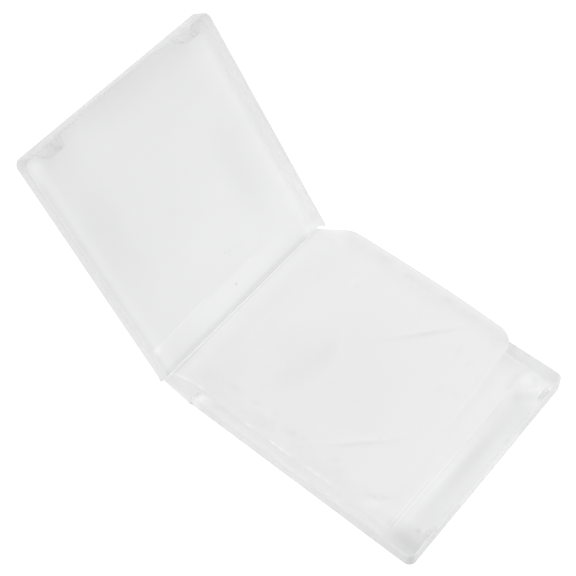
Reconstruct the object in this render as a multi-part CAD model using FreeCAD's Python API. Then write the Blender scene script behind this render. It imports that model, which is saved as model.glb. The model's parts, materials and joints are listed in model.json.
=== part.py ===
import FreeCAD, Part
import math
import os

# Disc storage case: two shallow moulded trays and a spine strip in one thin moulding, folding on
# two living hinges, with two clear film disc sleeves bound along the spine.
# Millimetres. The base tray lies on the table with its fore edge toward +X and the lid stands open
# on the -X side. The origin is the centre of the base tray's underside, +Z is up.

V = FreeCAD.Vector

# Case, outside sizes
case_depth = 142.0            # hinge crease to fore edge, each tray
case_width = 128.4            # across the hinge line
spine_width = 19.6            # between the two hinge creases
wall_height = 10.0            # each tray, underside to rim
wall = 1.1                    # side wall thickness
panel = 1.0                   # floor and spine thickness
lid_opening = 123.45          # lid angle from closed, as it stands in the photo
flat_opening = 180.0          # lid angle from closed when the case lies flat
fore_corner_r = 4.2           # upright corners at the fore edge
under_edge_r = 1.8            # outer edge between floor and walls
inner_fillet_r = 3.2          # inner edge between floor and walls
rim_round_r = 0.35

# Living hinges: a thin web whose top face is the turning line
web = 0.4                     # web thickness
groove = 0.9                  # turning line to the full floor thickness
groove_slope = 0.5            # length of the groove's slanted side
wall_start = 1.7              # turning line to the foot of the side walls
wall_rake = 1.6               # how much further back the walls start at the rim
spine_taper = 1.8             # how much the spine narrows at each end of the lid crease
spine_end_gap = 0.3

# Hinge strip of each floor, a little thinner than the rest
thin_strip_width = 16.5
thin_strip_step = 0.2

# Thumb notch in both fore walls, its ends curving up to the rim
notch_width = 56.0
notch_depth = 5.5
notch_end = 4.0               # width of each curved end
notch_lip = 0.6               # upright part of the ends, under the rim
notch_ease = 0.45             # how early the curve turns, as a part of its width

# Closing catches: fins on the base, slotted blocks on the lid
catch_offset = 47.8           # middle of each block, both sides
catch_long = 16.6             # along the wall
catch_slant, catch_steep = 5.5, 1.2       # how far its two ends lean in, the same way on both
catch_depth = 6.2
catch_height = 9.5
fin_shift = 3.2               # both fins stand this far from the blocks' middles, toward +Y
fin_width = 2.8
fin_height = 11.6             # a little into the slot when closed
fin_foot = 4.2
fin_head = 1.6
fin_wall_gap = 0.6
barb_height = 2.4             # the barb, below the fin's top
barb_under = 0.4              # its slanted underside
barb_reach = 0.5
barb_top = 0.5                # slanted back of the head
slot_clear = 0.5

# Film sleeves
film = 0.5                    # both films and the air between them
sleeve_depth = 125.3          # turning line to the fore edge of the lower sleeve
upper_fore_near, upper_fore_far = 118.0, 113.0      # same for the upper sleeve, pulled up and askew
sleeve_reach = 0.65           # how far the sleeves reach over the base turning line
lower_near, lower_far = 6.0, 122.0
upper_near, upper_far = 4.8, 126.0
lower_corner_r, upper_corner_r = 4.5, 10.0
lower_near_z, lower_far_z = 8.9, 9.3      # heights of the lower sleeve's two side edges
upper_near_z, upper_far_z = 16.0, 23.2    # same for the upper sleeve, which is skewed
leaf_foot = 1.7               # height at which both leave the bound margin
leaf_reach = 18.0             # how far behind the base turning line they do
upper_rise_length = 12.0
lower_step_start, lower_step_length = -12.0, 30.0
sheet_rows = 20
sheet_spill = 2.0             # sheets are drawn wider than the sleeves cut from them
sheet_room = 40.0             # height taken by the sheets, and more
binding_width = 17.0
binding_strip = 7.0           # its flat part
binding_thickness = 1.0
binding_gap = 0.35            # binding above the spine strip
binding_inset = 0.95          # binding clear of the base hinge line

half_depth = case_depth / 2
half_width = case_width / 2
crease_x = -half_depth                    # base hinge line
lid_crease_x = crease_x - spine_width     # lid hinge line
lid_rest_turn = flat_opening - lid_opening


def prism(points, height, z0=0.0):
    """Upright prism over a closed plan outline."""
    ring = [V(x, y, z0) for x, y in points]
    return Part.Face(Part.makePolygon(ring + ring[:1])).extrude(V(0, 0, height))


def side_profile(points, y0, length):
    """Solid with a closed outline in the XZ plane, drawn out along Y."""
    ring = [V(x, y0, z) for x, z in points]
    return Part.Face(Part.makePolygon(ring + ring[:1])).extrude(V(0, length, 0))


def box(x0, x1, y0, y1, z0, z1):
    return Part.makeBox(x1 - x0, y1 - y0, z1 - z0, V(x0, y0, z0))


def edges_where(shape, keep):
    return [e for e in shape.Edges if keep(e.BoundBox)]


def rounded_block(x0, x1, y0, y1, z0, z1, corner_r, edge_r):
    """Block whose two +X upright corners and three lower edges (all but -X) are rounded."""
    block = box(x0, x1, y0, y1, z0, z1)
    uprights = edges_where(block, lambda b: b.ZLength > z1 - z0 - 0.1 and b.XMin > x1 - 0.1)
    block = block.makeFillet(corner_r, uprights)
    lower = edges_where(block, lambda b: b.ZMax < z0 + 0.01 and b.XMax > x0 + 0.1)
    return block.makeFillet(edge_r, lower)


# Tray in its own frame: turning line at x = 0, fore edge at x = case_depth, width centred on y = 0,
# underside at z = 0
def tray_shell():
    outer = rounded_block(-case_depth / 4, case_depth, -half_width, half_width, 0, wall_height,
                          fore_corner_r, under_edge_r)
    inner = rounded_block(-case_depth / 2, case_depth - wall, -half_width + wall, half_width - wall,
                          panel, 2 * wall_height, fore_corner_r - wall, inner_fillet_r)
    shell = outer.cut(inner)

    # the walls and the full floor stop short of the turning line, the walls with a raked end
    reach = half_width + 1
    floor_end = side_profile([(-case_depth, -1), (groove, -1), (groove, web),
                              (groove + groove_slope, panel), (wall_start, panel),
                              (wall_start + wall_rake, wall_height + 1), (-case_depth, wall_height + 1)],
                             -reach, 2 * reach)
    shell = shell.cut(floor_end)

    # thinner hinge strip of the floor, stepped along a line parallel to the hinge
    inside = half_width - wall - inner_fillet_r
    shell = shell.cut(box(0, thin_strip_width, -inside, inside, panel - thin_strip_step, panel + web))
    return shell


def hinge_web(x0, x1, y_half_0, y_half_1):
    """Web between two x positions; its half width goes from y_half_0 to y_half_1."""
    return prism([(x0, -y_half_0), (x1, -y_half_1), (x1, y_half_1), (x0, y_half_0)], web)


def thumb_notch():
    """Cutter for the fore wall: straight bottom, ends rising in a soft curve."""
    half = notch_width / 2
    above = wall_height + 1
    low = wall_height - notch_depth
    x = case_depth - 2 * wall

    def end(side):
        """Curved end on one side: its poles from the rim down to the straight bottom."""
        turn = side * (half - notch_ease * notch_end)
        lip = V(x, side * half, wall_height - notch_lip)
        foot = V(x, side * (half - notch_end), low)
        bend = Part.BezierCurve()
        bend.setPoles([lip, V(x, turn, wall_height - 2 * notch_lip), V(x, turn, low), foot])
        top = V(x, side * half, above)
        return top, foot, [Part.makeLine(top, lip), bend.toShape()]

    near_top, near_foot, near = end(-1)
    far_top, far_foot, far = end(1)
    wire = Part.Wire(far + [Part.makeLine(far_foot, near_foot)] + near[::-1]
                     + [Part.makeLine(near_top, far_top)])
    return Part.Face(wire).extrude(V(3 * wall, 0, 0))


def fore_tray():
    """Tray with its half of the hinge web and the thumb notch."""
    shell = tray_shell().cut(thumb_notch())
    strip = hinge_web(0, wall_start + 0.5, half_width - spine_end_gap, half_width - spine_end_gap)
    return shell.fuse(strip).removeSplitter()


def hook_fin(y_mid):
    """Upright fin with a barbed head, just inside the base's fore wall."""
    back = case_depth - wall - fin_wall_gap
    barb_z = fin_height - barb_height
    outline = [(back - fin_foot, panel / 2), (back, panel / 2), (back, barb_z),
               (back + barb_reach, barb_z + barb_under), (back - barb_top, fin_height),
               (back - fin_head, fin_height)]
    return side_profile(outline, y_mid - fin_width / 2, fin_width)


def catch_block(y_mid, fin_y):
    """Block on the inside of the lid's fore wall, its ends leaning in unevenly, with a slot for the
    fin. The lid is turned round before it is hinged, so both y values are taken mirrored."""
    wall_x = case_depth - wall / 2
    face_x = case_depth - wall - catch_depth
    low, high = -y_mid - catch_long / 2, -y_mid + catch_long / 2
    block = prism([(wall_x, low), (wall_x, high), (face_x, high - catch_slant),
                   (face_x, low + catch_steep)], catch_height - panel / 2, panel / 2)
    half_slot = fin_width / 2 + slot_clear
    slot = box(case_depth - wall - fin_wall_gap - fin_foot - slot_clear, case_depth - wall,
               -fin_y - half_slot, -fin_y + half_slot, panel, wall_height)
    return block.cut(slot)


tray = fore_tray()
base_tray = tray.copy()
lid_tray = tray.copy()
for catch_y in (-catch_offset, catch_offset):
    fin_y = catch_y + fin_shift
    base_tray = base_tray.fuse(hook_fin(fin_y))
    lid_tray = lid_tray.fuse(catch_block(catch_y, fin_y))
base_tray = base_tray.removeSplitter()
lid_tray = lid_tray.removeSplitter()

# Rims of both trays are softened where they are straight
def soften_rim(shape):
    rim = edges_where(shape, lambda b: b.ZMin > wall_height - 0.01 and b.ZMax < wall_height + 0.01
                      and max(b.XLength, b.YLength) > 20)
    return shape.makeFillet(rim_round_r, rim)


base_tray = soften_rim(base_tray)
lid_tray = soften_rim(lid_tray)
base_tray.translate(V(crease_x, 0, 0))

# The lid is the same tray turned round, hinged on the far side of the spine and raised
lid_tray.rotate(V(0, 0, 0), V(0, 0, 1), 180)
lid_tray.translate(V(lid_crease_x, 0, 0))
lid_tray.rotate(V(lid_crease_x, 0, web), V(0, 1, 0), lid_rest_turn)


# Spine strip, narrowing toward the lid crease, with a web half at each end
def spine_panel():
    wide = half_width - spine_end_gap
    narrow = wide - spine_taper
    plan = prism([(lid_crease_x, -narrow), (crease_x, -wide), (crease_x, wide), (lid_crease_x, narrow)],
                 panel)
    reach = half_width + 1
    for hinge, way in ((lid_crease_x, 1), (crease_x, -1)):
        above_web = [(hinge, web), (hinge + way * groove, web),
                     (hinge + way * (groove + groove_slope), panel + 0.01), (hinge, panel + 0.01)]
        plan = plan.cut(side_profile(above_web, -reach, 2 * reach))
    return plan


spine_strip = spine_panel()


# Film sleeves: curved sheets over the base tray, drawn through rows of points at even distances from
# the base turning line. A rise gives the height along the near and the far edge; between the edges
# a sheet goes straight across.
def settling_rise(top, length):
    """Rises steeply from the binding and settles at the top height."""
    return lambda x: leaf_foot + (top - leaf_foot) * (1 - math.exp(-(x + leaf_reach) / length))


def stepping_rise(top, start, length):
    """Flat, then one smooth step up to the top height."""
    def height(x):
        t = min(max((x - start) / length, 0), 1)
        return leaf_foot + (top - leaf_foot) * t * t * (3 - 2 * t)
    return height


def sheet(near_rise, far_rise, y_near, y_far):
    grid = []
    for i in range(sheet_rows + 1):
        x = -leaf_reach + i * (sleeve_depth + sheet_spill + leaf_reach) / sheet_rows
        slope = (far_rise(x) - near_rise(x)) / (y_far - y_near)
        grid.append([V(crease_x + x, y - half_width, near_rise(x) + slope * (y - y_near))
                     for y in (y_near - sheet_spill, (y_near + y_far) / 2, y_far + sheet_spill)])
    surface = Part.BSplineSurface()
    surface.interpolate(grid)
    return surface.toShape().extrude(V(0, 0, film))


def sleeve(sheet_solid, y_near, y_far, fore_near, fore_far, corner_r):
    """The part of a sheet over the base tray, with rounded fore corners."""
    near, far = y_near - half_width, y_far - half_width
    back = crease_x - sleeve_reach
    plan = prism([(back, near), (crease_x + fore_near, near), (crease_x + fore_far, far),
                  (back, far)], sheet_room)
    corners = edges_where(plan, lambda b: b.ZLength > sheet_room / 2 and b.XMin > back + 1)
    return sheet_solid.common(plan.makeFillet(corner_r, corners))


def leaf(sheet_solid):
    """The part of a sheet over the spine strip, which runs down into the bound margin."""
    end = crease_x - binding_inset
    return sheet_solid.common(box(end - binding_width, end, lower_near - half_width,
                                  lower_far - half_width, binding_foot, sheet_room))


lower_sheet = sheet(stepping_rise(lower_near_z, lower_step_start, lower_step_length),
                    stepping_rise(lower_far_z, lower_step_start, lower_step_length),
                    lower_near, lower_far)
upper_sheet = sheet(settling_rise(upper_near_z, upper_rise_length),
                    settling_rise(upper_far_z, upper_rise_length), upper_near, upper_far)
sleeve_lower = sleeve(lower_sheet, lower_near, lower_far, sleeve_depth, sleeve_depth, lower_corner_r)
sleeve_upper = sleeve(upper_sheet, upper_near, upper_far, upper_fore_near, upper_fore_far,
                      upper_corner_r)

# Bound margin of both sleeves: a flat strip along the spine and a leaf rising to each sleeve
binding_foot = panel + binding_gap
binding_end = crease_x - binding_inset - binding_width
sleeve_binding = box(binding_end, binding_end + binding_strip, lower_near - half_width,
                     lower_far - half_width, binding_foot, binding_foot + binding_thickness)
sleeve_binding = sleeve_binding.fuse([leaf(lower_sheet), leaf(upper_sheet)]).removeSplitter()

os.makedirs("parts", exist_ok=True)
for name, shape in (("base_tray", base_tray), ("spine_strip", spine_strip), ("lid_tray", lid_tray),
                    ("sleeve_lower", sleeve_lower), ("sleeve_upper", sleeve_upper),
                    ("sleeve_binding", sleeve_binding)):
    solids = shape.Solids
    part = solids[0] if len(solids) == 1 else shape
    part.exportStep("parts/" + name + ".step")
    bounds = part.optimalBoundingBox(False)
    print(name, "solids", len(solids), "valid", part.isValid(), "volume", round(part.Volume, 1),
          "x", round(bounds.XMin, 2), round(bounds.XMax, 2), "y", round(bounds.YMin, 2),
          round(bounds.YMax, 2), "z", round(bounds.ZMin, 2), round(bounds.ZMax, 2))
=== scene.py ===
import json
import math
from collections import namedtuple

import bpy
from mathutils import Matrix, Quaternion, Vector


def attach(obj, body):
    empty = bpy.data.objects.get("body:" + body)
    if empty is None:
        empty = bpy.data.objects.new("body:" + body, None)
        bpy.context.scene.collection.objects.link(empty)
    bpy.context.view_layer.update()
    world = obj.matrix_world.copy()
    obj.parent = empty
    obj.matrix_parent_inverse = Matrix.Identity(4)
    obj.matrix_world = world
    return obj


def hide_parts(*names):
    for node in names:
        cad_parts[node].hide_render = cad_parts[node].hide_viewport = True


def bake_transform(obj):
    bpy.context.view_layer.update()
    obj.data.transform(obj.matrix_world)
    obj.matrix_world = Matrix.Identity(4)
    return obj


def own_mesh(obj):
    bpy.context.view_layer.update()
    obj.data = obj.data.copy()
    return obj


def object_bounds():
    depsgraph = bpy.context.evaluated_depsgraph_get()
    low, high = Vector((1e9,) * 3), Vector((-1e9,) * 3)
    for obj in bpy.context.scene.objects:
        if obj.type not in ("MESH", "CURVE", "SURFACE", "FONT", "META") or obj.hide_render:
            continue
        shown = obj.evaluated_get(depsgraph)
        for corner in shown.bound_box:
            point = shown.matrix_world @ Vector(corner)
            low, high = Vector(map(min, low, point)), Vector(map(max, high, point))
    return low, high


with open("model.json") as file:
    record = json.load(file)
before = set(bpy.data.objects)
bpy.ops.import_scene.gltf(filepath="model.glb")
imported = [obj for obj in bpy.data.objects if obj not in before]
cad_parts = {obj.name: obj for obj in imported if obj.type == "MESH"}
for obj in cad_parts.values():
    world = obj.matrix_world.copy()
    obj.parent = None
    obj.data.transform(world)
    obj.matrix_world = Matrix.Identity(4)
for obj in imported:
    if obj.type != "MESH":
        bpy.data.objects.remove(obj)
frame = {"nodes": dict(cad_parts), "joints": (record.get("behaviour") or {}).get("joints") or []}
CAD_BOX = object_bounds()

# Lengths are in millimetres, and MM turns them into metres

MM = 0.001

# The case, as packed

JOINTS = {joint["name"]: joint for joint in frame["joints"]}
BASE_AXIS, LID_AXIS = JOINTS["spine_hinge"]["pos_m"], JOINTS["lid_hinge"]["pos_m"]
LID_TURN = math.radians(-JOINTS["lid_hinge"]["range_deg"][0])  # the lid's, from lying flat
AXIS_Z = BASE_AXIS[2] / MM        # height of both hinge lines
HALF_D = -BASE_AXIS[0] / MM       # middle of the base to its hinge line
HALF_W = CAD_BOX[1].y / MM        # and to its far and near sides
TRAY_D = 2 * HALF_D               # hinge line to fore side
SPINE_W = (BASE_AXIS[0] - LID_AXIS[0]) / MM
WALL_H = 10.0                     # outer height of a tray's walls
THIN_STRIP = 16.5                 # width of the thinner strip of each floor along its hinge
CATCH_Y = 47.8                    # the closing catches, from the middle
SLOT_Y = CATCH_Y + 3.2            # the slot in the far one, which takes a hook of the base

# The film sleeves. Their x runs from the base hinge line, and their y from the near side

REACH = 18.0                      # they leave their bound margin this far behind the hinge line
SEAM_BASE, SEAM_SPINE = 1.7, -1.0  # the film is split here, so that it can follow the hinge
FILM_MIDDLE = 0.25                # its middle above its underside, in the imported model
STRAIGHT_X = 60.0                 # a place where both side edges run straight
CREASED_X = 12.0                  # their creases are as high as given from here on
PITCH = 0.7                       # of their meshes
CROWDING = 0.6                    # from 0 for even columns to 1 for crowded ones along both sides

# Tones and light

SHELL_LEVEL = 0.96                # lightness of the plastic
LID_SHADE = 0.028                # and how much darker the lid is painted, as painted shade
SHELL_PASSES, SHELL_CLEAR = 0.5, 0.22  # how much light the plastic lets through, and how clear it is
FILM_LEVEL = 0.86                 # lightness of the film where it looks milky
FILM_PASSES, FILM_MILKY = 0.3, 0.93  # how much light it lets through there, and how milky it is
FILM_GLOSS = 0.6                  # how strongly it mirrors
FILM_FREE = 0.95                  # how freely light passes it on its way to what lies under it
CLIMB_LIGHT, STEEPEST = 0.10, 0.8  # painted light on the film by its slope, up to this one
MARGIN_LIGHT = 0.02               # and painted light toward its bound margin
SKY_LIGHT = 0.91                  # strength of the white surroundings as light

# The photograph's view, fitted to the outlines of both halves

CAMERA_PLACE = (196.02, -279.14, 596.55)
CAMERA_TARGET = (-77.53, 22.795, 0.0)  # where its middle meets the table
CAMERA_ROLL = -2.7175             # degrees
CAMERA_LENS = 83.236
CAMERA_SENSOR = 36.0


def smooth(t):
    t = min(max(t, 0.0), 1.0)
    return t * t * (3 - 2 * t)


# Building node trees

class Tree:
    """Short-hand for building the node tree of a material or a world."""

    def __init__(self, owner, output="OutputMaterial"):
        owner.use_nodes = True
        self.owner, self.tree = owner, owner.node_tree
        self.tree.nodes.clear()
        self.out = self.node(output)

    def link(self, source, target):
        if isinstance(source, (int, float)):
            target.default_value = source
        elif isinstance(source, tuple):
            target.default_value = source if len(source) == len(target.default_value) else (*source, 1.0)
        else:
            self.tree.links.new(source, target)

    def node(self, kind, inputs=None, **settings):
        made = self.tree.nodes.new("ShaderNode" + kind)
        for key, value in settings.items():
            setattr(made, key, value)
        for key, value in (inputs or {}).items():
            self.link(value, made.inputs[key])
        return made

    def math(self, operation, a, b=0.0, c=None):
        made = self.node("Math", {0: a, 1: b}, operation=operation)
        if c is not None:
            self.link(c, made.inputs[2])
        return made.outputs[0]

    def step(self, value, low, high):
        """Smooth step of a value between two limits, which may run downward."""
        first, last = (0.0, 1.0) if low < high else (1.0, 0.0)
        made = self.node("MapRange", {"Value": value, "From Min": min(low, high),
                                      "From Max": max(low, high), "To Min": first, "To Max": last},
                         interpolation_type="SMOOTHSTEP", clamp=True)
        return made.outputs["Result"]

    def band(self, value, centre, half):
        """One at the centre, falling softly to nothing half away from it."""
        return self.step(self.math("ABSOLUTE", self.math("SUBTRACT", value, centre)), half, 0.0)

    def product(self, first, *others):
        for other in others:
            first = self.math("MULTIPLY", first, other)
        return first

    def largest(self, first, *others):
        for other in others:
            first = self.math("MAXIMUM", first, other)
        return first

    def add_up(self, start, *terms):
        """start plus each term: an amount, times the values that follow it."""
        for amount, *values in terms:
            start = self.math("MULTIPLY_ADD", self.product(*values), amount, start)
        return start

    def noise(self, vector, scale, detail=2.0, roughness=0.5):
        made = self.node("TexNoise", {"Vector": vector, "Scale": scale, "Detail": detail,
                                      "Roughness": roughness})
        return made.outputs["Fac"]

    def ray(self, *kinds):
        """One for rays of the named kinds, and nought for others."""
        path = self.node("LightPath")
        return self.largest(*(path.outputs["Is %s Ray" % kind] for kind in kinds))

    def mix_shader(self, factor, a, b):
        return self.node("MixShader", {0: factor, 1: a, 2: b}).outputs[0]

    def grey(self, value):
        made = self.node("CombineColor", {"Red": value, "Green": value, "Blue": value})
        return made.outputs[0]


# Frosted plastic of the two trays and the spine

# A shaded point of a tray: x from its hinge line, y from the middle, z above its outer face, and
# all three as a vector
Spot = namedtuple("Spot", "x y z point")


def shell_material(name, looks, hinge_x=-HALF_D, turn=0.0, flip=1):
    """Frosted polypropylene. hinge_x is a tray's hinge line, turn how far the tray is raised about
    it, and flip is -1 where the tray lies toward -x. looks adds its painted light and shade."""
    t = Tree(bpy.data.materials.new(name))
    to_tray = Matrix.Diagonal((flip / MM, 1 / MM, 1 / MM)).to_4x4()
    to_tray = to_tray @ Matrix.Rotation(-turn, 4, "Y")
    to_tray = to_tray @ Matrix.Translation((-hinge_x * MM, 0, -AXIS_Z * MM))
    location, rotation, scale = to_tray.decompose()
    place = t.node("TexCoord").outputs["Object"]
    mapping = t.node("Mapping", {"Vector": place, "Location": tuple(location),
                                 "Rotation": tuple(rotation.to_euler()), "Scale": tuple(scale)})
    point = mapping.outputs[0]
    xyz = t.node("SeparateXYZ", {"Vector": point})
    spot = Spot(xyz.outputs["X"], xyz.outputs["Y"], t.math("ADD", xyz.outputs["Z"], AXIS_Z), point)

    clouds = t.noise(point, scale=0.035, detail=3.0)
    grain = t.noise(point, scale=2.4, roughness=0.6)
    level = t.add_up(SHELL_LEVEL, (0.02, t.math("SUBTRACT", clouds, 0.5)),
                     (0.012, t.math("SUBTRACT", grain, 0.5)))
    # painted light and shade of each tray and of the spine
    level = looks(t, level, spot)
    relief = t.node("Bump", {"Height": grain, "Strength": 0.12, "Distance": 0.0004})
    body = t.node("BsdfPrincipled", {"Base Color": t.grey(level), "Roughness": 0.42,
                                     "Specular IOR Level": 0.35, "Normal": relief.outputs[0]})
    passed = t.node("BsdfTranslucent", {"Color": t.grey(level)})
    clear = t.node("BsdfTransparent", {"Color": (0.97, 0.975, 0.975)})
    lit = t.mix_shader(SHELL_PASSES, body.outputs[0], passed.outputs[0])
    t.link(t.mix_shader(SHELL_CLEAR, lit, clear.outputs[0]), t.out.inputs["Surface"])
    return t.owner


def tray_painted_shade(t, level, spot, corner_shade, foot_shade):
    """Painted shade that both trays share: on their fore corners, outer lower edges and rims."""
    reach = t.math("ABSOLUTE", spot.y)
    walls = t.largest(t.step(reach, HALF_W - 1.6, HALF_W - 0.9),
                      t.step(spot.x, TRAY_D - 1.6, TRAY_D - 0.9))
    return t.add_up(
        level,
        (-corner_shade, t.step(reach, HALF_W - 7.0, HALF_W), t.step(spot.x, TRAY_D - 7.0, TRAY_D)),
        (-foot_shade, walls, t.step(spot.z, 1.6, 0.0)),
        (-0.04, t.step(spot.z, WALL_H - 0.7, WALL_H - 0.1)),
    )


# Painted light and shade on the base tray
def base_painted_light(t, level, spot):
    x, y = spot.x, spot.y
    level = tray_painted_shade(t, level, spot, corner_shade=0.03, foot_shade=0.08)
    floor = t.step(spot.z, 1.8, 1.2)
    glare = t.largest(t.product(t.band(x, 5.5, 3.5), t.step(y, -61.0, -62.5)),
                      t.product(t.band(x, 3.2, 3.2), t.band(y, -57.8, 5.0)))
    far_corner_light = t.product(floor, t.step(x, 118.0, 128.0), t.step(y, 40.0, 50.0))
    corner_dapples = t.step(t.noise(spot.point, scale=0.09), 0.5, 0.62)
    return t.add_up(
        level,
        # painted shade on the floor along the fore wall, and a stripe of painted light behind that
        (-0.05, floor, t.band(x, 131.0, 5.5), t.band(y, 2.0, 54.0)),
        (0.03, floor, t.band(x, 125.5, 4.0), t.band(y, -28.0, 48.0)),
        # painted light on the floor along the near wall
        (0.018, floor, t.step(y, -55.0, -60.0), t.step(x, 128.0, 118.0)),
        # painted shade on the near fore corner: its floor, the foot of the wall, and its outer tip
        (-0.05, floor, t.step(x, 117.0, 129.0), t.step(y, -43.0, -54.0)),
        (-0.04, floor, t.step(x, 122.0, 126.0), t.band(y, -54.2, 4.5)),
        (-0.22, t.step(x, 138.0, 142.0), t.step(y, -60.0, -64.0)),
        # the far fore corner: a pool of painted light, dappled with darker noise, and painted sheen and
        # shade on it
        (0.07, far_corner_light),
        (-0.05, far_corner_light, corner_dapples),
        (0.03, floor, t.band(x, 128.5, 7.0), t.band(y, 55.5, 4.0)),
        (-0.05, floor, t.band(x, 128.5, 4.5), t.band(y, 44.5, 6.0)),
        (-0.06, floor, t.band(x, 134.0, 5.0), t.band(y, 49.5, 7.0)),
        # painted shadow and reflection of the near hook on the floor: a dark spot and a light one
        (-0.09, floor, t.band(x, 133.2, 2.0), t.band(y, -46.8, 2.0)),
        (0.05, floor, t.band(x, 135.2, 2.0), t.band(y, -44.8, 2.0)),
        # painted shade on the fore, far and near walls
        (-0.02, t.step(x, TRAY_D - 1.6, TRAY_D - 0.9)),
        (-0.04, t.step(y, HALF_W - 2.0, HALF_W - 1.0)),
        (-0.04, t.step(y, 2.0 - HALF_W, 1.0 - HALF_W), t.step(x, 70.0, 130.0)),
        # painted shadow in the gap beside the far fore corner of the upper sleeve
        (-0.035, t.band(x, 111.0, 5.5), t.step(y, 56.5, 60.0)),
        # painted glare at the near end of the hinge
        (0.07, glare),
    )


# Painted light and shade on the lid tray
def lid_painted_light(t, level, spot):
    x, y, z = spot.x, spot.y, spot.z
    level = tray_painted_shade(t, level, spot, corner_shade=0.04, foot_shade=0.04)
    floor = t.step(z, 2.2, 1.4)
    reach = t.math("ABSOLUTE", y)
    slanting = t.math("MULTIPLY_ADD", y, -0.04, x)
    crease = t.math("MULTIPLY_ADD", t.band(y, 38.0, 40.0), 0.3, 0.4)
    catches = t.product(t.step(x, 133.6, 134.6), t.step(z, 1.4, 2.2), t.step(x, 141.1, 140.8),
                        t.step(reach, CATCH_Y - 10.0, CATCH_Y - 9.0),
                        t.step(reach, CATCH_Y + 9.5, CATCH_Y + 8.9))
    slots = t.product(t.largest(t.band(y, SLOT_Y, 4.4), t.band(y, SLOT_Y - 2 * CATCH_Y, 4.4)),
                      t.step(z, 9.2, 8.6), t.step(x, 135.2, 135.9))
    level = t.add_up(
        # all of the lid in painted shade
        t.math("SUBTRACT", level, LID_SHADE),
        # painted shade growing toward its fore side, and painted light growing from near to far
        (-0.028, t.step(x, 5.0, 85.0)),
        (0.012, t.math("DIVIDE", y, HALF_W)),
        # painted light on the thin strip along the hinge, a painted highlight on the edge that ends it,
        # and a painted glint on its near end
        (0.03, floor, t.step(x, 17.5, 15.5), t.step(x, 1.5, 5.0), t.band(y, -5.0, 62.0)),
        (0.045, floor, t.band(slanting, THIN_STRIP + 1.8, 0.9), t.step(y, -12.0, -20.0),
         t.step(y, -60.0, -57.0)),
        (0.06, t.band(x, 15.2, 3.5), t.band(y, -56.5, 4.0)),
        # painted shade in the crease of the hinge itself, and painted light at its far end
        (-0.08, t.band(x, 2.0, 2.6), crease, t.step(y, 60.5, 52.0)),
        (0.03, t.band(x, 3.0, 4.5), t.step(y, 51.0, 60.0)),
        # painted shade on the catches, and painted light on their slots and on the floor beside the near
        # one
        (-0.035, catches),
        (0.2, catches, slots),
        (0.05, floor, t.band(x, 133.5, 5.0), t.band(y, -56.0, 6.0)),
        # painted shade on the fore part of the floor, and on the far fore corner
        (-0.03, floor, t.step(x, 118.0, 136.0), t.band(y, 6.0, 45.0)),
        (-0.02, floor, t.step(x, 60.0, 130.0), t.step(y, -40.0, 20.0), t.step(y, 56.0, 44.0)),
        (-0.08, t.band(x, 137.0, 7.0), t.band(y, 59.5, 5.0)),
        # painted shade on the far part of the floor, and a painted highlight at the foot of the far wall
        (-0.035, floor, t.band(y, 40.0, 18.0), t.band(x, 56.0, 44.0)),
        (0.022, t.band(y, 58.0, 6.0), t.step(x, 134.0, 120.0), t.step(z, 5.0, 3.0)),
        # painted light and shade on the near part of the floor and the foot of the near wall, and
        # painted light on that wall
        (-0.02, floor, t.band(y, -43.0, 18.0), t.band(x, 85.0, 60.0)),
        (0.03, floor, t.band(y, -57.0, 7.0)),
        (0.02, floor, t.band(x, 130.0, 12.0), t.band(y, -57.0, 9.0)),
        (-0.045, floor, t.band(y, -58.6, 3.6), t.step(x, 130.0, 118.0)),
        (0.05, t.step(y, 2.0 - HALF_W, 1.0 - HALF_W)),
    )
    for speck_x, speck_y, size, amount in ((10.9, 2.5, 1.2, -0.2), (28.6, 9.0, 1.0, -0.07),
                                           (29.4, 6.6, 1.0, -0.07), (15.9, 16.7, 1.4, 0.05)):
        level = t.add_up(level, (amount, floor, t.band(x, speck_x, size), t.band(y, speck_y, size)))
    return level


def spine_painted_light(t, level, spot):
    """Painted highlight along the lid's hinge line."""
    return t.add_up(level, (0.05, t.step(spot.x, 1.6 - SPINE_W, 0.5 - SPINE_W)))


SHELLS = {
    "base_tray": shell_material("frosted_base", base_painted_light),
    "spine_strip": shell_material("frosted_spine", spine_painted_light),
    "lid_tray": shell_material("frosted_lid", lid_painted_light, -HALF_D - SPINE_W, LID_TURN, flip=-1),
}
for node, material in SHELLS.items():
    slots = frame["nodes"][node].data.materials
    slots.clear()
    slots.append(material)


# Clear film of the sleeves

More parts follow.
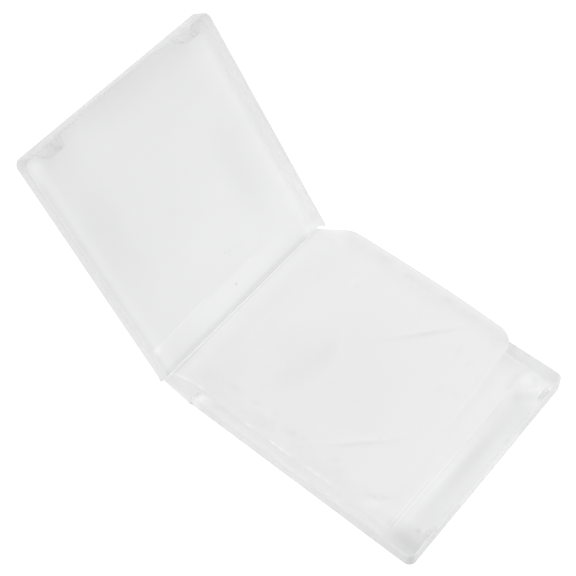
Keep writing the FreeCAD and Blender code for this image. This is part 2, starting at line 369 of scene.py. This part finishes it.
def film_material(name, seams, edge_fade, edge_start=None, weld_fade=None):
    """Clear film: glossy, milky where two films and the air between them lie over pale plastic. The
    tone attribute holds painted light and shade, and marks, which darken or lighten it; the rim
    attribute holds the distances to its near, far and fore edges, along which the two films are
    welded. seams is how strongly the painted highlights of welds and fore edge show. Along the fore
    edge, by the distance to the far one, its painted highlight line grows from faint to full over
    edge_fade and sets in over edge_start, and its painted weld highlight sets in over weld_fade, if it
    shows at all."""
    t = Tree(bpy.data.materials.new(name))
    tone = t.node("Attribute", attribute_name="tone").outputs["Fac"]
    rim = t.node("SeparateXYZ", {"Vector": t.node("Attribute", attribute_name="rim").outputs["Vector"]})
    near, far, fore = rim.outputs["X"], rim.outputs["Y"], rim.outputs["Z"]
    point = t.node("Mapping", {"Vector": t.node("TexCoord").outputs["Object"],
                               "Scale": (1 / MM, 1 / MM, 1 / MM)}).outputs[0]
    dapple, puckers = (t.step(t.noise(point, scale, detail=3.0, roughness=0.6), 0.50, 0.66)
                       for scale in (0.16, 0.13))
    along = t.node("SeparateXYZ", {"Vector": point}).outputs["X"]

    # masks for the painted highlights along the real welds and the fore edge
    welds = t.band(far, 1.3, 0.5)
    fore_edge = t.product(t.step(fore, 0.9, 0.3),
                          t.math("MULTIPLY_ADD", t.step(far, *edge_fade), 0.8, 0.2))
    if edge_start:
        fore_edge = t.product(fore_edge, t.step(far, *edge_start))
    level = FILM_LEVEL
    # a painted highlight on the fore weld, with painted shade beside it, where it shows
    if weld_fade:
        shown = t.step(far, *weld_fade)
        welds = t.largest(t.product(t.band(fore, 2.4, 0.5), shown), welds)
        level = t.add_up(level, (-0.02 * seams, t.band(fore, 1.7, 0.5), shown))
    level = t.add_up(
        level,
        (1.0, tone),
        # painted light and shade along the folded edge at the lid's hinge: a light line and a dark one
        (0.10, t.band(along, 0.5 - HALF_D - REACH, 0.55)),
        (-0.06, t.band(along, 1.6 - HALF_D - REACH, 1.1)),
        # painted highlights along the welds and the cut fore edge
        (0.05 * seams, welds),
        (0.05 * seams, fore_edge),
        # painted shade in the puckers of the far edge, on the edge itself, and along it
        (-0.02, t.band(far, 5.0, 4.5), puckers),
        (-0.05, t.step(far, 0.5, 0.1)),
        (-0.045, t.step(far, 15.0, 1.5)),
        # painted shade, dappled, along the near edge, and a little along both sides
        (-0.015, t.band(near, 6.0, 7.0), dapple),
        (-0.012, t.step(t.math("MINIMUM", near, far), 9.0, 3.0)),
    )
    white = t.node("BsdfPrincipled", {"Base Color": t.grey(level), "Roughness": 0.3,
                                      "Specular IOR Level": 0.5})
    passed = t.node("BsdfTranslucent", {"Color": t.grey(level)})
    haze = t.mix_shader(FILM_PASSES, white.outputs[0], passed.outputs[0])
    clear = t.node("BsdfTransparent", {"Color": (0.985, 0.985, 0.985)})
    sheet = t.mix_shader(FILM_MILKY, clear.outputs[0], haze)
    gloss = t.node("BsdfGlossy", {"Color": (1.0, 1.0, 1.0), "Roughness": 0.08})
    sheen = t.math("MULTIPLY", t.node("Fresnel", {"IOR": 1.3}).outputs[0], FILM_GLOSS)
    skin = t.mix_shader(sheen, sheet, gloss.outputs[0])
    passing = t.math("MULTIPLY", t.ray("Diffuse", "Shadow"), FILM_FREE)
    free = t.node("BsdfTransparent", {"Color": (0.99, 0.99, 0.99)})
    t.link(t.mix_shader(passing, skin, free.outputs[0]), t.out.inputs["Surface"])
    return t.owner


FILMS = {"lower": film_material("film_lower", 1.0, edge_fade=(45.0, 80.0), weld_fade=(74.0, 90.0)),
         "upper": film_material("film_upper", 0.5, edge_fade=(75.0, 45.0), edge_start=(12.0, 40.0))}


# Painted light and shade, and marks, on the film

# Places of painted light and shade, and marks: x, y, how long and wide they are, the turn of their
# length from x in degrees, and how much lighter
UPPER_TONES = (
    # a sharp wrinkle at the far fore quarter, in painted shade on one side and painted light on the
    # other
    (75.8, 97.2, 15.0, 1.3, 49.5, -0.040), (74.2, 98.8, 15.0, 1.2, 49.5, 0.012),
    # another one nearer, painted alike, which ends in a dot
    (88.5, 31.0, 18.0, 1.1, 43.5, -0.030), (87.3, 32.2, 17.0, 1.0, 43.5, 0.012),
    (93.7, 37.9, 1.1, 1.1, 0.0, -0.03),
    # a broad field of painted shade by the hinge, with painted light along its edges
    (31.0, 40.0, 16.0, 13.0, 20.0, -0.012), (21.0, 52.0, 10.0, 9.0, 0.0, -0.010),
    (42.0, 57.0, 11.0, 5.5, 78.0, -0.022), (37.0, 36.0, 10.0, 6.0, 76.0, -0.018),
    (46.0, 67.0, 8.0, 2.0, -60.0, 0.014), (52.0, 50.0, 12.0, 3.0, 82.0, 0.012),
    (4.0, 49.0, 1.0, 12.0, 3.0, 0.012),
    # short marks
    (31.0, 98.3, 1.2, 0.9, 0.0, -0.03), (27.1, 100.0, 0.8, 2.5, -20.0, 0.015),
    (26.9, 105.2, 2.2, 0.9, 0.0, -0.015), (100.6, 77.6, 3.0, 1.0, 60.0, -0.02),
    (108.0, 80.0, 2.2, 1.0, 20.0, -0.015), (95.0, 102.0, 1.4, 4.5, 10.0, -0.02),
    (103.1, 97.7, 2.0, 3.0, 0.0, -0.015),
    # painted shade in the puckers along the far edge
    (32.5, 121.6, 4.5, 1.7, 0.0, -0.050), (50.1, 121.0, 4.0, 1.8, 0.0, -0.035),
    (73.7, 121.0, 4.0, 1.8, 0.0, -0.050), (90.8, 121.9, 3.0, 1.4, 0.0, -0.030),
    (99.9, 121.7, 1.5, 1.5, 0.0, -0.030),
    # painted shade and light on the near fore corner, where the film turns down
    (110.0, 12.0, 3.5, 0.8, 12.0, -0.035), (114.8, 14.8, 2.4, 0.8, 55.0, -0.035),
    (113.0, 9.0, 6.5, 2.0, 38.0, 0.03),
    # painted shade in the puckers along the near edge, and at its fore end
    (19.5, 15.2, 5.0, 1.6, 0.0, -0.030), (33.4, 15.4, 2.4, 1.4, 10.0, -0.035),
    (44.7, 16.5, 1.0, 2.0, -10.0, -0.030), (45.9, 12.7, 3.0, 1.2, 0.0, -0.025),
    (58.9, 14.0, 2.2, 1.6, 0.0, -0.035), (64.0, 14.8, 1.6, 1.6, 0.0, -0.030),
    (69.5, 14.0, 4.5, 1.2, -20.0, -0.025), (84.2, 15.9, 2.0, 1.6, 0.0, -0.030),
    (88.8, 12.8, 2.2, 1.6, 20.0, -0.025), (31.7, 7.9, 2.6, 1.2, 20.0, -0.020),
    (88.0, 9.0, 16.0, 4.0, 0.0, -0.02),
    # broad painted shade in the middle, and painted light where the film has risen from the hinge
    (60.0, 62.0, 38.0, 45.0, 0.0, -0.022), (8.0, 80.0, 3.5, 42.0, 0.0, 0.016),
    (14.0, 56.0, 9.0, 20.0, 0.0, 0.018),
    # painted glints, light and shade by the near and far ends of the hinges
    (-7.0, 6.2, 8.0, 0.7, -3.0, 0.07), (4.5, 5.6, 2.0, 1.0, 0.0, 0.07),
    (-16.0, 17.0, 2.6, 9.0, 0.0, -0.05), (1.0, 14.0, 8.0, 4.5, 0.0, -0.022),
    (-13.0, 121.0, 6.0, 3.0, 0.0, 0.03),
)
LOWER_TONES = (
    # painted light along the fore part, painted shade at its corners
    (114.0, 62.0, 6.0, 55.0, 0.0, 0.02), (124.5, 106.5, 2.5, 3.0, 0.0, -0.05),
    (122.5, 117.5, 3.0, 3.0, 0.0, 0.03), (117.0, 13.0, 6.0, 6.0, 0.0, 0.02),
    (123.0, 9.0, 2.5, 3.0, 0.0, -0.08), (123.0, 113.0, 2.0, 5.0, 0.0, -0.035),
    # glints on the welded near edge
    (35.5, 6.2, 1.8, 0.5, 0.0, 0.16), (51.5, 6.4, 2.2, 0.5, 0.0, 0.16), (56.5, 6.5, 1.6, 0.5, 0.0, 0.16),
    (60.8, 6.6, 1.5, 0.5, 0.0, 0.12), (74.5, 6.9, 1.4, 0.5, 0.0, 0.10), (79.0, 7.0, 2.0, 0.5, 0.0, 0.14),
    (85.0, 7.2, 2.4, 0.5, 0.0, 0.10),
)

# Creases and puckers of the sheet itself: the same, with how far they stand up or dip at the end
UPPER_CREASES = (
    # the two wrinkles, the field by the hinge, and the crown of the middle
    (76.0, 99.0, 19.0, 1.6, 52.0, 0.35), (88.5, 31.0, 18.0, 1.4, 43.5, 0.25),
    (33.0, 44.0, 14.0, 11.0, 20.0, -0.5), (60.0, 70.0, 40.0, 30.0, 10.0, 0.6),
    # along the far edge
    (33.0, 121.0, 6.0, 4.0, 0.0, 0.4), (48.0, 121.5, 5.0, 4.0, 0.0, -0.4),
    (66.0, 118.0, 7.0, 5.0, 20.0, 0.4), (87.0, 117.0, 6.0, 5.0, 10.0, -0.4),
    (104.0, 118.0, 5.0, 5.0, 0.0, 0.4),
    # the near fore corner and the near edge
    (112.0, 12.5, 4.5, 2.0, 30.0, -0.5), (42.0, 12.0, 4.0, 3.0, 0.0, 0.35),
    (56.0, 11.0, 5.0, 3.0, 0.0, -0.3),
)


# Shape of the sleeves

def curve_through(*stops):
    """Smooth curve through (x, value) stops, level beyond both ends."""
    def at(x):
        if x <= stops[0][0]:
            return stops[0][1]
        for (x0, v0), (x1, v1) in zip(stops, stops[1:]):
            if x <= x1:
                break
        else:
            return stops[-1][1]
        i = stops.index((x0, v0))
        run = x1 - x0
        before = stops[i - 1] if i else (x0, v0)
        after = stops[i + 2] if i + 2 < len(stops) else (x1, v1)
        m0 = (v1 - before[1]) / (x1 - before[0])
        m1 = (after[1] - v0) / (after[0] - x0)
        t = (x - x0) / run
        return (v0 * (1 + 2 * t) * (1 - t) ** 2 + m0 * run * t * (1 - t) ** 2
                + v1 * t * t * (3 - 2 * t) - m1 * run * t * t * (1 - t))
    return at


def bump(x, y, x0, y0, long, wide, turn):
    """Soft mound round a point, long along a direction turned from x."""
    c, s = math.cos(math.radians(turn)), math.sin(math.radians(turn))
    u, v = (x - x0) * c + (y - y0) * s, -(x - x0) * s + (y - y0) * c
    return math.exp(-(u / long) ** 2 - (v / wide) ** 2)


class Sleeve:
    """Lie of one film sleeve. near_rise and far_rise are the heights of its side edges over x, near
    and far where they run, and fore the x of its fore edge's near and far ends. flat is the width,
    length and area of what lies over the base tray, before it was bound in; it is not used."""

    def __init__(self, name, near_rise, far_rise, near, far, fore, corner_r, flat, tones, creases=()):
        self.name, self.flat, self.tones, self.creases = name, flat, tones, creases
        self.near_rise, self.far_rise = near_rise, far_rise
        self.near, self.far, self.fore, self.corner_r = near, far, fore, corner_r

    def side_y(self, x, across):
        return self.near(x) + (self.far(x) - self.near(x)) * across

    def fore_x(self, across):
        return self.fore[0] + (self.fore[1] - self.fore[0]) * across

    def place(self, along, across):
        """Plan position for two parts of one: along from the seam to the rounded fore edge."""
        r = self.corner_r
        y = self.side_y(STRAIGHT_X, across)
        inset = max(r - (y - self.near(STRAIGHT_X)), r - (self.far(STRAIGHT_X) - y), 0.0)
        fore = self.fore_x(across) - r + math.sqrt(max(r * r - inset * inset, 0.0))
        x = SEAM_BASE + (fore - SEAM_BASE) * along
        return x, self.side_y(x, across)

    def height(self, x, y):
        t = (y - self.near(x)) / (self.far(x) - self.near(x))
        return self.near_rise(x) * (1 - t) + self.far_rise(x) * t + FILM_MIDDLE

    def tone(self, x, y):
        """Painted light and shade on the film: lighter where it climbs and toward its bound margin, and
        by its marks.
        """
        climb = self.height(x + 0.5, y) - self.height(x - 0.5, y)
        level = CLIMB_LIGHT * min(max(climb, 0.0), STEEPEST) + MARGIN_LIGHT * smooth((-2.0 - x) / 10.0)
        return level + sum(amount * bump(x, y, *shape) for *shape, amount in self.tones)

    def ripple(self, x, y):
        """Height of the creases, which run out at the hinge."""
        high = sum(amount * bump(x, y, *shape) for *shape, amount in self.creases)
        return high * smooth(x / CREASED_X)

    def point(self, x, y):
        z = self.height(x, y) + self.ripple(x, y)
        return Vector(((x - HALF_D) * MM, (y - HALF_W) * MM, z * MM))


LOWER = Sleeve(
    "lower",
    near_rise=curve_through((-REACH, 1.7), (-12, 1.9), (0, 5), (12, 8.2), (20, 8.9)),
    far_rise=curve_through((-REACH, 1.7), (-12, 1.9), (0, 5), (12, 8.6), (20, 9.3)),
    near=curve_through((0, 6.0)),
    far=curve_through((0, 122.0)),
    fore=(125.3, 125.3), corner_r=4.5, flat=(116.0, 124.2, 14364), tones=LOWER_TONES)
UPPER = Sleeve(
    "upper",
    near_rise=curve_through((-REACH, 2.4), (-12, 6.5), (-5, 10.5), (3, 13.5), (14, 15.4), (30, 16)),
    far_rise=curve_through((-REACH, 3.6), (-12, 8), (-5, 13.6), (3, 19.6), (9, 22.6), (20, 23.3),
                           (70, 23.6), (110, 21)),
    near=curve_through((-REACH, 6.0), (0, 5.2), (10, 4.8)),
    far=curve_through((-REACH, 125.8), (0, 126.0)),
    fore=(118.0, 113.0), corner_r=10.0, flat=(121.5, 117.3, 13860), tones=UPPER_TONES,
    creases=UPPER_CREASES)


def film_mesh(name, sleeve, start, stop=None):
    """Grid over a strip between two x values, or over all the rest when stop is None."""
    spread = (sleeve.fore[0] if stop is None else stop) - start
    rows = max(round(spread / PITCH), 2)
    columns = round((sleeve.far(STRAIGHT_X) - sleeve.near(STRAIGHT_X)) / PITCH)
    verts, tones, rims = [], [], []
    for i in range(rows + 1):
        for j in range(columns + 1):
            crowded = 0.5 - 0.5 * math.cos(math.pi * j / columns)
            across = CROWDING * crowded + (1 - CROWDING) * j / columns
            if stop is None:
                x, y = sleeve.place(i / rows, across)
            else:
                x = start + spread * i / rows
                y = sleeve.side_y(x, across)
            verts.append(sleeve.point(x, y))
            tones.append(sleeve.tone(x, y))
            rims += [y - sleeve.near(x), sleeve.far(x) - y, sleeve.fore_x(across) - x]
    row = columns + 1
    faces = [[i * row + j + corner for corner in (0, row, row + 1, 1)]
             for i in range(rows) for j in range(columns)]
    mesh = bpy.data.meshes.new(name)
    mesh.from_pydata(verts, [], faces)
    mesh.attributes.new("tone", "FLOAT", "POINT").data.foreach_set("value", tones)
    mesh.attributes.new("rim", "FLOAT_VECTOR", "POINT").data.foreach_set("vector", rims)
    mesh.shade_smooth()
    mesh.materials.append(FILMS[sleeve.name])
    obj = bpy.data.objects.new(name, mesh)
    bpy.context.scene.collection.objects.link(obj)
    return obj


for sleeve in (LOWER, UPPER):
    main = film_mesh("sleeve_%s_film" % sleeve.name, sleeve, SEAM_BASE)
    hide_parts("sleeve_%s" % sleeve.name)
    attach(main, "base")
    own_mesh(main)
    leaf = film_mesh("sleeve_%s_leaf" % sleeve.name, sleeve, -REACH, SEAM_SPINE)
    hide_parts("sleeve_binding")
    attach(leaf, "spine")
    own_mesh(leaf)
    bridge = film_mesh("sleeve_%s_fold" % sleeve.name, sleeve, SEAM_SPINE, SEAM_BASE)
    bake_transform(bridge)


# Floor

def floor_material():
    """Matte and pale, and brighter to the eye than as a lamp for what stands on it."""
    t = Tree(bpy.data.materials.new("pale_floor"))
    seen = t.ray("Camera", "Glossy", "Transmission")
    matte = t.node("BsdfDiffuse", {"Color": (0.7, 0.7, 0.7)})
    glow = t.node("Emission", {"Color": (1.0, 1.0, 1.0), "Strength": t.math("MULTIPLY", seen, 0.55)})
    both = t.node("AddShader", {0: matte.outputs[0], 1: glow.outputs[0]})
    t.link(both.outputs[0], t.out.inputs["Surface"])
    return t.owner


FLOOR_HALF, FLOOR_DROP = 3000.0, 0.2
floor_mesh = bpy.data.meshes.new("floor")
floor_mesh.from_pydata([(x * FLOOR_HALF * MM, y * FLOOR_HALF * MM, 0)
                        for x, y in ((-1, -1), (1, -1), (1, 1), (-1, 1))], [], [(0, 1, 2, 3)])
floor_mesh.materials.append(floor_material())
floor = bpy.data.objects.new("floor", floor_mesh)
floor.location.z = -FLOOR_DROP * MM
bpy.context.scene.collection.objects.link(floor)


# Light

def studio_world():
    """White on all sides, full white to the camera and a little less as light."""
    t = Tree(bpy.data.worlds.new("studio"), "OutputWorld")
    strength = t.math("MULTIPLY_ADD", t.ray("Camera", "Transmission"), 1.0 - SKY_LIGHT, SKY_LIGHT)
    sky = t.node("Background", {"Color": (1.0, 1.0, 1.0), "Strength": strength})
    t.link(sky.outputs[0], t.out.inputs["Surface"])
    return t.owner


def softbox(name, place, size, power):
    """Round soft lamp turned to the middle of the base, with its place and size in metres."""
    lamp = bpy.data.lights.new(name, "AREA")
    lamp.shape, lamp.size, lamp.energy = "DISK", size, power
    obj = bpy.data.objects.new(name, lamp)
    obj.location = place
    target = Vector((0.0, 0.0, 0.02))
    obj.rotation_euler = (target - Vector(place)).to_track_quat("-Z", "Y").to_euler()
    bpy.context.scene.collection.objects.link(obj)


bpy.context.scene.world = studio_world()
softbox("key", (-0.25, 0.45, 0.85), size=0.7, power=1.2)
softbox("side", (0.75, 0.35, 0.55), size=0.5, power=0.4)


# Camera

camera_data = bpy.data.cameras.new("camera")
camera_data.sensor_width = CAMERA_SENSOR
camera_data.lens = CAMERA_LENS
camera = bpy.data.objects.new("camera", camera_data)
camera.location = Vector(CAMERA_PLACE) * MM
view = Vector(CAMERA_TARGET) - Vector(CAMERA_PLACE)
roll = Quaternion((0, 0, 1), math.radians(CAMERA_ROLL))
camera.rotation_mode = "QUATERNION"
camera.rotation_quaternion = view.to_track_quat("-Z", "Y") @ roll
bpy.context.scene.collection.objects.link(camera)
bpy.context.scene.camera = camera
bpy.context.scene.view_settings.view_transform = "Standard"
